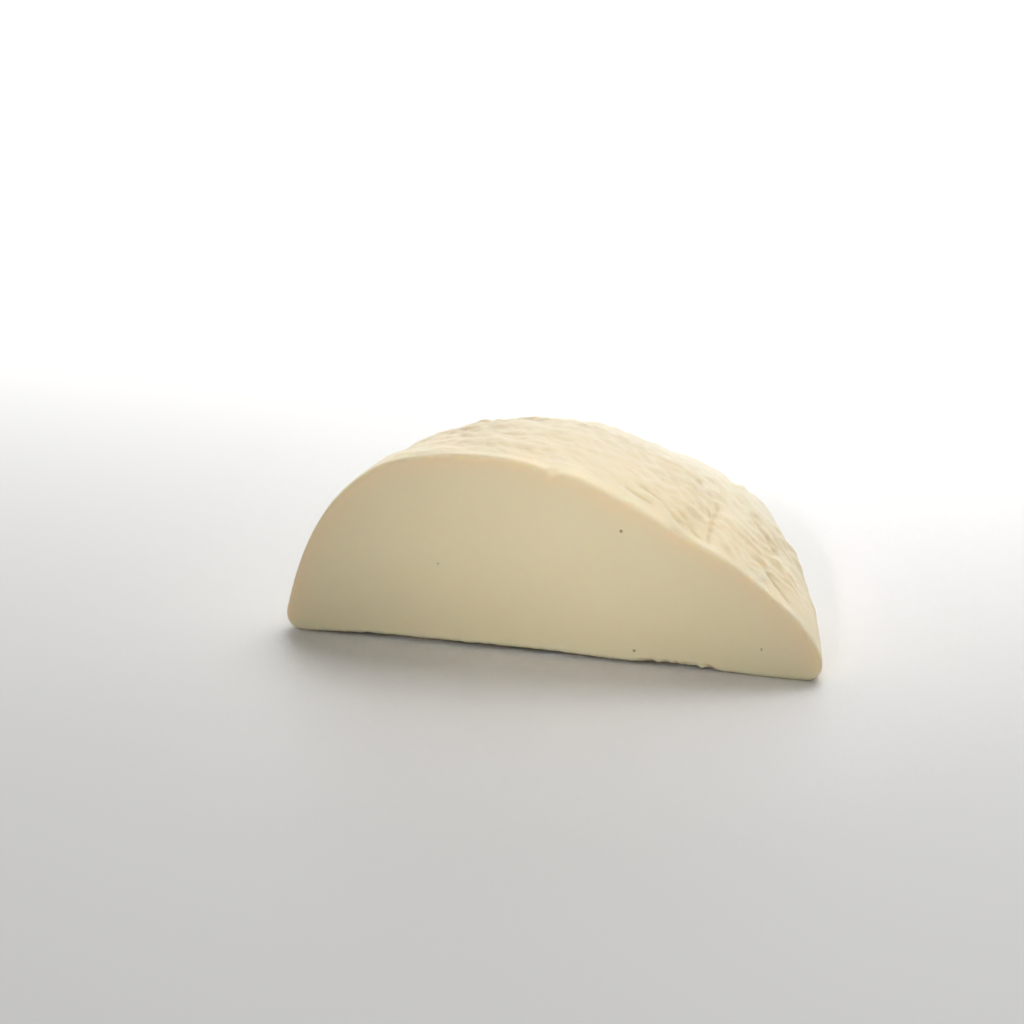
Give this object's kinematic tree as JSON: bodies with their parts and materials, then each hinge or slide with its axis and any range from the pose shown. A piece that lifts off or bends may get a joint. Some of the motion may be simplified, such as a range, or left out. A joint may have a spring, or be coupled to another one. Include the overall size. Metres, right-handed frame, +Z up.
{
  "type": "half anthotyros cheese",
  "caption": "Half of a fresh white whey cheese: a flat cut face in front, a domed rind with cloth folds behind, resting on a flat underside.",
  "frame": {"origin": "on the flat underside, below the middle of the half's box", "axes": "+X along the cut, towards its long slope; +Y from the cut face back into the cheese; +Z up"},
  "size_m": [0.1934, 0.1042, 0.0709],
  "materials": {
    "curd": "soft, moist and slightly translucent cream-white curd with a satin rind"
  },
  "bodies": {
    "root": {"half_cheese": "curd"}
  },
  "joints": []
}
